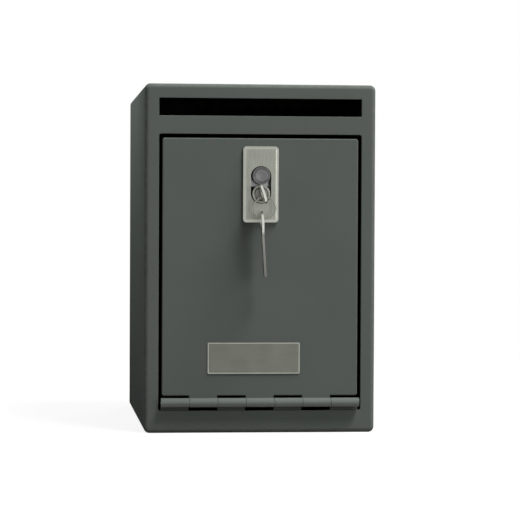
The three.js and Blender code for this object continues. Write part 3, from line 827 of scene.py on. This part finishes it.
def make_blank_badge():
    """The blank badge: a thin raised border round a brushed field that lies a little lower."""
    skin = Skin()
    top = badge_low.y
    outline = shrinking_outline(badge_low, badge_high, BADGE_CORNER, 5)
    steps = (
        (0, badge_high.y, 0),
        (0, top + SOFT_EDGE, 0),
        (SOFT_EDGE * 0.3, top + SOFT_EDGE * 0.3, 0.6),
        (SOFT_EDGE, top, 0.9),
        (BADGE_BORDER, top, 0.9),
        (BADGE_BORDER + SOFT_EDGE * 0.5, top + BADGE_SINK * 0.3, 0.5),
        (BADGE_BORDER + SOFT_EDGE, top + BADGE_SINK, 0),
    )
    skin.close([skin.ring(outline(inset), y, wear) for inset, y, wear in steps])
    on_border = margin_share(badge_low, badge_high, BADGE_BORDER + SOFT_EDGE * 0.6)
    return mark(smooth(skin.made("blank_badge"), 50), on_border)


# Lock

def make_lock_surround():
    """The bevelled nickel plate with a long hole round the two noses."""
    skin = Skin()
    top = surround_low.y
    outline = shrinking_outline(surround_low, surround_high, SURROUND_CORNER, 8)
    steps = (
        (0, surround_high.y, 0),
        (0, top + BEVEL_DEPTH + SOFT_EDGE, 0),
        (SOFT_EDGE * 0.35, top + BEVEL_DEPTH, 0.8),
        (SOFT_EDGE * 1.3, top + BEVEL_DEPTH - SOFT_EDGE * 0.6, 0.6),
        (BEVEL_WIDTH - SOFT_EDGE, top + SOFT_EDGE * 0.5, 0.6),
        (BEVEL_WIDTH, top + SOFT_EDGE * 0.12, 0.8),
        (BEVEL_WIDTH + SOFT_EDGE, top, 0),
    )
    rings = [skin.ring(outline(inset), y, wear) for inset, y, wear in steps]
    skin.wall(rings)
    hole = hole_rings(skin, nose_hole, top, surround_high.y, 2 * SOFT_EDGE, 4)
    skin.wall(hole)
    skin.cover(rings[0], hole[-1])
    skin.cover(rings[-1], hole[0])
    # Painted highlight: the bevel margin takes the lighter colour.
    painted_bevel_highlight = margin_share(surround_low, surround_high, BEVEL_WIDTH + SOFT_EDGE / 2)
    return mark(smooth(skin.made("lock_surround"), 50), painted_bevel_highlight)


def make_nose(name, axis, low, high):
    """A round nose with an eased rim, a shallow groove in its face and a bore for the plug."""
    radius = (high.x - low.x) / 2
    face = low.y
    groove = (radius + NOSE_BORE) / 2
    profile = [
        (NOSE_BORE, high.y, 0),
        (NOSE_BORE, face + NOSE_LIP, 0),
        (NOSE_BORE + NOSE_LIP * 0.3, face + NOSE_LIP * 0.3, 1),
        (NOSE_BORE + NOSE_LIP, face, 0.4),
        (groove - NOSE_GROOVE, face, 0),
        (groove, face + NOSE_GROOVE, 0),
        (groove + NOSE_GROOVE, face, 0),
        (radius - NOSE_EDGE, face, 0.3),
        (radius - NOSE_EDGE * 0.4, face + NOSE_EDGE * 0.2, 1),
        (radius - NOSE_EDGE * 0.08, face + NOSE_EDGE * 0.62, 0.6),
        (radius, face + NOSE_EDGE, 0),
        (radius, high.y, 0),
    ]
    return turned(name, profile, axis)


def make_plug_face(name, axis, low, end):
    """A plug's body with an eased rim and a dished face, given as shares of the radius and depths."""
    profile = [(PLUG_RADIUS * share, low + depth, 0) for share, depth in PLUG_DISH]
    profile += [
        (PLUG_RADIUS - PLUG_EDGE, low, 0.3),
        (PLUG_RADIUS - PLUG_EDGE * 0.3, low + PLUG_EDGE * 0.25, 0.8),
        (PLUG_RADIUS, low + PLUG_EDGE, 0.2),
        (PLUG_RADIUS, end, 0),
        (0, end, 0),
    ]
    return turned(name, profile, axis)


def make_split_ring():
    """The split ring: flattened wire wound round twice, side by side, with eased ends."""
    middle = (ring_low + ring_high) / 2
    radius = (ring_high.x - ring_low.x) / 2 - RING_SLIMMED
    steps = RING_STEPS * RING_TURNS
    work = bmesh.new()
    rings = []
    for step in range(steps + 1):
        share = step / steps
        turn = share * RING_TURNS * 2 * math.pi - RING_START
        # The wire stays in its lane and crosses over to the next one in a short stretch
        lane = -1 + 2 * min(max((share * RING_TURNS - RING_CROSSING_START) / RING_CROSSING_SHARE, 0), 1)
        out = Vector((math.cos(turn), 0, math.sin(turn)))
        taper = min(1.0, RING_TIP_SHARE + step / 2, RING_TIP_SHARE + (steps - step) / 2)
        points = []
        for side in range(RING_SECTION_POINTS):
            round_turn = 2 * math.pi * side / RING_SECTION_POINTS
            depth = RING_WIRE_HALF_DEPTH * taper * math.cos(round_turn)
            y = RING_WIRE_HALF_WIDTH * (lane + taper * math.sin(round_turn))
            points.append(work.verts.new(middle + out * (radius + depth) + Vector((0, y, 0))))
        rings.append(points)
    for one, two in zip(rings, rings[1:]):
        bridge(work, one, two)
    work.faces.new(rings[0])
    work.faces.new(rings[-1])
    return smooth(built("split_ring", work), 45)


# Geometry node trees for what repeats

def geometry_node(tree, kind, inputs, **options):
    """Adds a geometry node and gives its first output."""
    return add_node(tree, "GeometryNode" + kind, inputs, **options).outputs[0]


def end_tree(tree, came, gone, instances):
    """Makes the instances real, gives them the material and lets them out."""
    real = geometry_node(tree, "RealizeInstances", {"Geometry": instances})
    coated = geometry_node(tree, "SetMaterial", {"Geometry": real, "Material": came["Material"]})
    tree.links.new(coated, gone["Geometry"])
    return tree


def grow(piece, tree, values):
    """Runs a geometry tree on a piece with the given inputs, and keeps the mesh."""
    modifier = piece.modifiers.new(tree.name, "NODES")
    modifier.node_group = tree
    for item in tree.interface.items_tree:
        if item.in_out == "INPUT" and item.name in values:
            modifier[item.identifier] = values[item.name]
    return settle(piece)


def knuckle_row_tree():
    """A row of hinge knuckles along X: rings with eased edges, a bore and even spacing."""
    tree, came, gone = new_group(
        "Geometry", "knuckle row",
        [
            ("Geometry", "Geometry"), ("Barrel radius", "Float"), ("Bore radius", "Float"),
            ("Knuckle length", "Float"), ("Edge radius", "Float"), ("Spacing", "Float"), ("Count", "Int"),
            ("First middle", "Vector"), ("Material", "Material"),
        ],
        [("Geometry", "Geometry")],
    )
    thickness = math_node(tree, "SUBTRACT", came["Barrel radius"], came["Bore radius"])
    both = plus(tree, came["Barrel radius"], came["Bore radius"])
    middle_radius = times(tree, both, 0.5)
    path = geometry_node(tree, "CurvePrimitiveCircle", {"Resolution": KNUCKLE_SIDES, "Radius": middle_radius})
    sides = {"Width": thickness, "Height": came["Knuckle length"]}
    section = geometry_node(tree, "CurvePrimitiveQuadrilateral", sides)
    fillet_inputs = {"Curve": section, "Radius": came["Edge radius"], "Count": KNUCKLE_EDGE_STEPS}
    eased = geometry_node(tree, "FilletCurve", fillet_inputs, mode="POLY")
    swept = geometry_node(tree, "CurveToMesh", {"Curve": path, "Profile Curve": eased})
    lying = geometry_node(tree, "Transform", {"Geometry": swept, "Rotation": (0, QUARTER, 0)})
    step = add_node(tree, "ShaderNodeCombineXYZ", {"X": came["Spacing"]}).outputs[0]
    row_inputs = {"Count": came["Count"], "Start Location": came["First middle"], "Offset": step}
    row = geometry_node(tree, "MeshLine", row_inputs)
    placed = geometry_node(tree, "InstanceOnPoints", {"Points": row, "Instance": lying})
    return end_tree(tree, came, gone, placed)


def screw_places_tree():
    """Sets one screw on each point, each turned about Y by its own angle, as screws come to rest."""
    tree, came, gone = new_group(
        "Geometry", "screws at their seats",
        [("Geometry", "Geometry"), ("Screw", "Object"), ("Turn seed", "Int"), ("Material", "Material")],
        [("Geometry", "Geometry")],
    )
    screw = add_node(tree, "GeometryNodeObjectInfo", {"Object": came["Screw"]}, transform_space="ORIGINAL")
    limits = {"Min": (0, 0, 0), "Max": (0, math.pi, 0), "Seed": came["Turn seed"]}
    angle = add_node(tree, "FunctionNodeRandomValue", limits, data_type="FLOAT_VECTOR").outputs[0]
    turn = add_node(tree, "FunctionNodeEulerToRotation", {"Euler": angle}).outputs[0]
    seated = {"Points": came["Geometry"], "Instance": screw.outputs["Geometry"], "Rotation": turn}
    return end_tree(tree, came, gone, geometry_node(tree, "InstanceOnPoints", seated))


knuckle_row = knuckle_row_tree()
screw_places = screw_places_tree()


def make_knuckles(name, first):
    """The knuckles of one leaf, from its first along the barrel."""
    first_x = pin_low.x + (first + 0.5) * knuckle_pitch
    piece = add_object(name, bpy.data.meshes.new(name))
    values = {
        "Barrel radius": BARREL_RADIUS,
        "Bore radius": BARREL_BORE,
        "Knuckle length": knuckle_pitch - KNUCKLE_GAP,
        "Edge radius": KNUCKLE_EDGE,
        "Spacing": LEAVES * knuckle_pitch,
        "Count": len(range(first, KNUCKLES, LEAVES)),
        "First middle": (first_x, pin_middle.y, pin_middle.z),
        "Material": hinge_paint,
    }
    return smooth(grow(piece, knuckle_row, values), 40)


def knuckle_ends(first):
    """Where each knuckle of a leaf starts and ends along X."""
    starts = [pin_low.x + index * knuckle_pitch for index in range(first, KNUCKLES, LEAVES)]
    return [(start + KNUCKLE_GAP / 2, start + knuckle_pitch - KNUCKLE_GAP / 2) for start in starts]


def make_leaf_strip(name, first, leaf_low, leaf_high, side):
    """The flat of a hinge leaf, cut back beside its knuckles so that the other leaf's can turn."""
    near = pin_z + side * WEB_INNER
    cut_back = pin_z + (UPPER_CUT_BACK if side > 0 else -LOWER_CUT_BACK)
    far = leaf_high.z if side > 0 else leaf_low.z
    outline = [(leaf_low.x, far), (leaf_low.x, cut_back)]
    for start, end in knuckle_ends(first):
        if start - leaf_low.x < KNUCKLE_GAP:
            outline[-1] = (start, near)
        else:
            outline += [(start, cut_back), (start, near)]
        if leaf_high.x - end < KNUCKLE_GAP:
            outline.append((end, near))
        else:
            outline += [(end, near), (end, cut_back)]
    if outline[-1][1] == cut_back:
        outline.append((leaf_high.x, cut_back))
    outline.append((leaf_high.x, far))
    skin = Skin()
    skin.close([skin.ring(outline, leaf_high.y - LEAF_SHEET), skin.ring(outline, leaf_high.y)])
    return ease(skin.made(name), LEAF_EDGE, 3)


def web_profile(rear, side):
    """A web's outline, as distances behind the pin and away from it towards its own leaf."""
    if side > 0:
        front = [(WEB_START, WEB_INNER), (WEB_FLUSH, WEB_INNER), (WEB_FLUSH, WEB_END - WEB_CHAMFER)]
        front += [(WEB_INSIDE, WEB_END), (WEB_INSIDE, UPPER_WEB_OUTER), (rear, UPPER_WEB_OUTER)]
    else:
        front = [(WEB_START, WEB_INNER), (WEB_SUNK, BARREL_RADIUS)]
        front += [(WEB_SUNK, LOWER_WEB_OUTER), (rear, LOWER_WEB_OUTER)]
    return front + [(rear, WEB_INNER)]


def make_web(name, start, end, back, side):
    """The metal between a knuckle and its leaf: level with the door's face, sunk below the body's."""
    profile = web_profile(back - LEAF_SHEET / 2 - pin_middle.y, side)
    work = bmesh.new()
    rings = [
        [work.verts.new((x, pin_middle.y + y, pin_middle.z + side * z)) for y, z in profile]
        for x in (start, end)
    ]
    bridge(work, *rings)
    work.faces.new(rings[0])
    work.faces.new(rings[1])
    return ease(built(name, work), KNUCKLE_EDGE, 2, 50)


def make_leaf(name, first, leaf_low, leaf_high, side):
    """A hinge leaf with the webs that carry its knuckles. Side is 1 where it goes up, -1 where down."""
    parts = [make_leaf_strip(name + " strip", first, leaf_low, leaf_high, side)]
    for start, end in knuckle_ends(first):
        parts.append(make_web(name + " web", start, end, leaf_high.y, side))
    return join(name, *parts)


def make_screw(head, shank):
    """A pan-head screw with a cross recess, seated at the origin, its head towards +Y."""
    head_radius, head_height = head
    shank_radius, shank_length = shank
    profile = [
        (0, -shank_length, 0),
        (shank_radius * SHANK_TIP, -shank_length, 0),
        (shank_radius, -shank_length + shank_radius * SHANK_TAPER, 0),
        (shank_radius, 0, 0),
        (head_radius, 0, 0),
        (head_radius, head_height * HEAD_SIDE, HEAD_WEAR),
    ]
    for step in range(1, CROWN_STEPS + 1):
        turn = step / CROWN_STEPS * QUARTER
        profile.append((
            head_radius * (HEAD_FLAT + (1 - HEAD_FLAT) * math.cos(turn)),
            head_height * (HEAD_SIDE + (1 - HEAD_SIDE) * math.sin(turn)),
            HEAD_WEAR,
        ))
    profile.append((0, head_height, 0))
    screw = turned("screw", profile, Vector((0, 0, 0)), SCREW_SIDES)
    half_width = head_radius * RECESS_WIDTH
    half_length = head_radius * RECESS_LENGTH
    low_y = head_height * RECESS_FROM
    for long_x, long_z in ((half_length, half_width), (half_width, half_length)):
        low = (-long_x, low_y, -long_z)
        high = (long_x, head_height * 2, long_z)
        cut(screw, block("recess", low, high))
    return smooth(screw)


def make_screws(name, nodes, head, shank, seed):
    """Four screws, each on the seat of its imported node."""
    screw = make_screw(head, shank)
    seats = bpy.data.meshes.new(name)
    points = []
    for node in nodes:
        low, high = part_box(node)
        points.append(((low.x + high.x) / 2, high.y - head[1], (low.z + high.z) / 2))
    seats.from_pydata(points, [], [])
    piece = add_object(name, seats)
    grow(piece, screw_places, {"Screw": screw, "Turn seed": seed, "Material": zinc_plate})
    bpy.data.objects.remove(screw)
    return smooth(piece)


# Body pieces
fit(make_shell(), "safe_body", body_paint, "body_paint", "body_shell")
fit(make_rear_panel(), "safe_body", body_paint, "body_paint", "back_panel")
# The inner pieces get the black paint that stands in for the shade in the slot and the door gaps.
for node, name, width, segments in (
    ("drop_chute", "chute", SHEET_EDGE, 3),
    ("fishing_comb", "comb", FINE_EDGE, 2),
    ("stop_strip_left", "left_stop", SHEET_EDGE, 3),
    ("stop_strip_right", "right_stop", SHEET_EDGE, 3),
    ("strike_bar", "strike", BAR_EDGE, 3),
):
    dress(node, name, width, "safe_body", inner_paint, "inner_paint", segments)

# Hinge
body_leaf = make_leaf("body_leaf", 0, body_leaf_low, body_leaf_high, -1)
fit(body_leaf, "safe_body", body_paint, "body_paint", "hinge_body_leaf")
fit(make_knuckles("body_knuckles", 0), "safe_body", hinge_paint, "body_paint", "hinge_body_leaf")
door_leaf = make_leaf("door_leaf", 1, door_leaf_low, door_leaf_high, 1)
fit(door_leaf, "door", body_paint, "body_paint", "hinge_door_leaf")
fit(make_knuckles("door_knuckles", 1), "door", hinge_paint, "body_paint", "hinge_door_leaf")
dress("hinge_pin", "pin", BAR_EDGE, "safe_body", zinc_plate, "zinc", 3)

# Door pieces
fit(make_door_panel(), "door", body_paint, "body_paint", "door_plate")
fit(make_blank_badge(), "door", badge_metal, "brushed_plate", "name_plate")
fit(make_lock_surround(), "door", satin_nickel, "satin_nickel", "lock_plate")
fit(make_nose("keyed_nose", key_axis, nose_low, nose_high), "door", turned_nickel, "satin_nickel", "key_nose")
plain_nose = make_nose("plain_nose", upper_axis, upper_low, upper_high)
fit(plain_nose, "door", dark_nickel, "dark_nickel", "blank_nose")
plain_plug = make_plug_face("plain_plug", upper_axis, plug_low.y, plug_high.y)
fit(plain_plug, "door", dark_nickel, "dark_nickel", "blank_plug")
# The casing takes the darkened zinc colour, painted shade where it shows in the nose hole.
dress("lock_case", "casing", SHEET_EDGE, "door", cast_case, "cast_case")
dress("lock_cover", "casing_cover", COVER_EDGE, "door", zinc_plate, "zinc")
for name, kind, head, shank, seed in (
    ("casing_screws", "case_screw", CASE_HEAD, CASE_SHANK, 3),
    ("lid_screws", "cover_screw", COVER_HEAD, COVER_SHANK, 5),
):
    screws = [f"{kind}_{number}" for number in range(1, 5)]
    fit(make_screws(name, screws, head, shank, seed), "door", zinc_plate, "zinc", *screws)
dress("lever_post", "lever_pin", POST_EDGE, "door", ground_steel, "hard_steel")

# Lock movement
dress("key_plug", "keyed_plug", FINE_EDGE, "plug", plug_nickel, "dark_nickel")
dress("bolt", "bolt_bar", BOLT_EDGE, "bolt", ground_steel, "hard_steel", 3)
for number in range(1, 5):
    dress(f"lever_{number}", f"lever_plate_{number}", THIN_EDGE, "levers", lever_brass, "brass")
    spring = f"lever_spring_{number}"
    dress(spring, f"spring_blade_{number}", SPRING_EDGE, "levers", spring_steel, "spring_steel")

# Keys
bow_middle = (key_low + key_high) / 2
bow_middle.y = key_low.y + BOW_RADIUS
spare_middle = (spare_low + spare_high) / 2
spare_middle.z = spare_high.z - BOW_RADIUS


def blade_painted_shade(middle):
    """Gives the share of painted shade at a point, from how far it lies from the bow's middle: none on the
    bow, full on the blade.
    """

    def share(point):
        reach = (point - middle).length
        return min(max((reach - BOW_RADIUS) / (BOW_END - BOW_RADIUS), 0.0), 1.0)

    return share


# Painted shade on the key blades, darker than the bows.
for node, name, middle in (("key", "key_in_lock", bow_middle), ("spare_key", "hanging_key", spare_middle)):
    piece = mark(dressed(node, name, THIN_EDGE, 2, False), blade_painted_shade(middle))
    fit(piece, node, key_steel, "key_steel", node)
fit(make_split_ring(), "ring", ring_steel, "key_steel", "key_ring")


# Floor, light and camera

def seen_share(tree):
    """1 for what the camera sees, also in gloss and through glass, and 0 for light on its way."""
    path = add_node(tree, "ShaderNodeLightPath").outputs
    seen = plus(tree, path["Is Camera Ray"], path["Is Glossy Ray"])
    seen = plus(tree, seen, path["Is Transmission Ray"])
    return math_node(tree, "MINIMUM", seen, 1.0)


AMBIENT = 0.25
FLOOR_SIZE = 6.0
FLOOR_WHITE_SHARE = 0.86
FLOOR_PLAIN_FROM = 0.3
FLOOR_WHITE_FROM = 0.9
FLOOR_SEEN = (0.95, 0.95, 0.95, 1)
FLOOR_BOUNCE = (0.14, 0.14, 0.14, 1)
floor_mesh = bpy.data.meshes.new("floor")
half_floor = FLOOR_SIZE / 2
floor_signs = ((-1, -1), (1, -1), (1, 1), (-1, 1))
floor_corners = [(x * half_floor, y * half_floor, 0) for x, y in floor_signs]
floor_mesh.from_pydata(floor_corners, [], [(0, 1, 2, 3)])
floor = add_object("floor", floor_mesh)


def make_floor_material():
    """A pale floor that looks white, and keeps a soft shadow near the object."""
    material = bpy.data.materials.new("pale floor")
    tree = empty_tree(material)
    leave = tree.nodes.new("ShaderNodeOutputMaterial")
    dim = add_node(tree, "ShaderNodeBsdfDiffuse", {"Color": FLOOR_BOUNCE})
    pale = add_node(tree, "ShaderNodeBsdfDiffuse", {"Color": FLOOR_SEEN})
    glow = add_node(tree, "ShaderNodeEmission", {"Color": (1, 1, 1, 1), "Strength": 1.0})
    reach = length_node(tree, object_place(tree))
    share = spread(tree, reach, FLOOR_PLAIN_FROM, FLOOR_WHITE_FROM, FLOOR_WHITE_SHARE, 1.0)
    shown = add_node(tree, "ShaderNodeMixShader", {0: share, 1: pale.outputs[0], 2: glow.outputs[0]})
    either = {0: seen_share(tree), 1: dim.outputs[0], 2: shown.outputs[0]}
    mixed = add_node(tree, "ShaderNodeMixShader", either)
    tree.links.new(mixed.outputs[0], leave.inputs["Surface"])
    return material


floor.data.materials.append(make_floor_material())


def make_world(ambient):
    """Surroundings that are dim as light and white where they are seen."""
    world = bpy.data.worlds.new("studio")
    bpy.context.scene.world = world
    tree = empty_tree(world)
    leave = tree.nodes.new("ShaderNodeOutputWorld")
    soft = add_node(tree, "ShaderNodeBackground", {"Color": (1, 1, 1, 1), "Strength": ambient})
    white = add_node(tree, "ShaderNodeBackground", {"Color": (1, 1, 1, 1), "Strength": 1.0})
    seen = seen_share(tree)
    mixed = add_node(tree, "ShaderNodeMixShader", {0: seen, 1: soft.outputs[0], 2: white.outputs[0]})
    tree.links.new(mixed.outputs[0], leave.inputs["Surface"])


def add_softbox(name, place, aim, size, power, mirrored):
    """A soft lamp that the camera doesn't see."""
    lamp = bpy.data.lights.new(name, "AREA")
    lamp.shape = "RECTANGLE"
    lamp.size, lamp.size_y = size
    lamp.energy = power
    light = bpy.data.objects.new(name, lamp)
    light.location = place
    light.rotation_euler = (Vector(aim) - Vector(place)).to_track_quat("-Z", "Y").to_euler()
    light.visible_camera = False
    light.visible_glossy = mirrored
    bpy.context.scene.collection.objects.link(light)


make_world(AMBIENT)
front_middle = (0, front_y, shell_high.z / 2)
shell_left = (shell_low.x, 0, 0.25)
back_middle = (0, back_y, shell_high.z / 2)
# Name, place, what it faces, size in metres, power in watts and whether gloss mirrors it
LAMPS = (
    ("softbox above", (1.0, -0.73, 2.4), front_middle, (1.6, 0.6), 124, False),
    ("softbox right", (1.5, -2.1, 0.5), front_middle, (1.2, 1.2), 22, True),
    ("softbox left", (-0.28, 0.08, 0.48), shell_left, (0.2, 0.2), 1.0, True),
    ("softbox behind", (0.5, 1.8, 0.9), back_middle, (1.2, 1.2), 18, False),
)
for lamp in LAMPS:
    add_softbox(*lamp)

CAMERA_PLACE = (-0.1985, -1.8744, 0.1857)
CAMERA_YAW = 4.999
CAMERA_PITCH = -1.126
CAMERA_ROLL = 0.23
CAMERA_SHIFT = 0.1
CAMERA_RANGE = (0.05, 30)
FOCAL_PIXELS = 2007.8
IMAGE_PIXELS = 520
SENSOR = 36.0

camera_data = bpy.data.cameras.new("camera")
camera_data.sensor_width = SENSOR
camera_data.lens = FOCAL_PIXELS / IMAGE_PIXELS * SENSOR
camera_data.shift_x = CAMERA_SHIFT
camera_data.clip_start, camera_data.clip_end = CAMERA_RANGE
camera = bpy.data.objects.new("camera", camera_data)
camera.location = CAMERA_PLACE
level = Matrix.Rotation(math.radians(90 + CAMERA_PITCH), 4, "X")
yawed = Matrix.Rotation(math.radians(-CAMERA_YAW), 4, "Z")
rolled = Matrix.Rotation(math.radians(CAMERA_ROLL), 4, "Z")
camera.rotation_euler = (yawed @ level @ rolled).to_euler()
bpy.context.scene.collection.objects.link(camera)
bpy.context.scene.camera = camera

bpy.context.scene.view_settings.view_transform = "Standard"
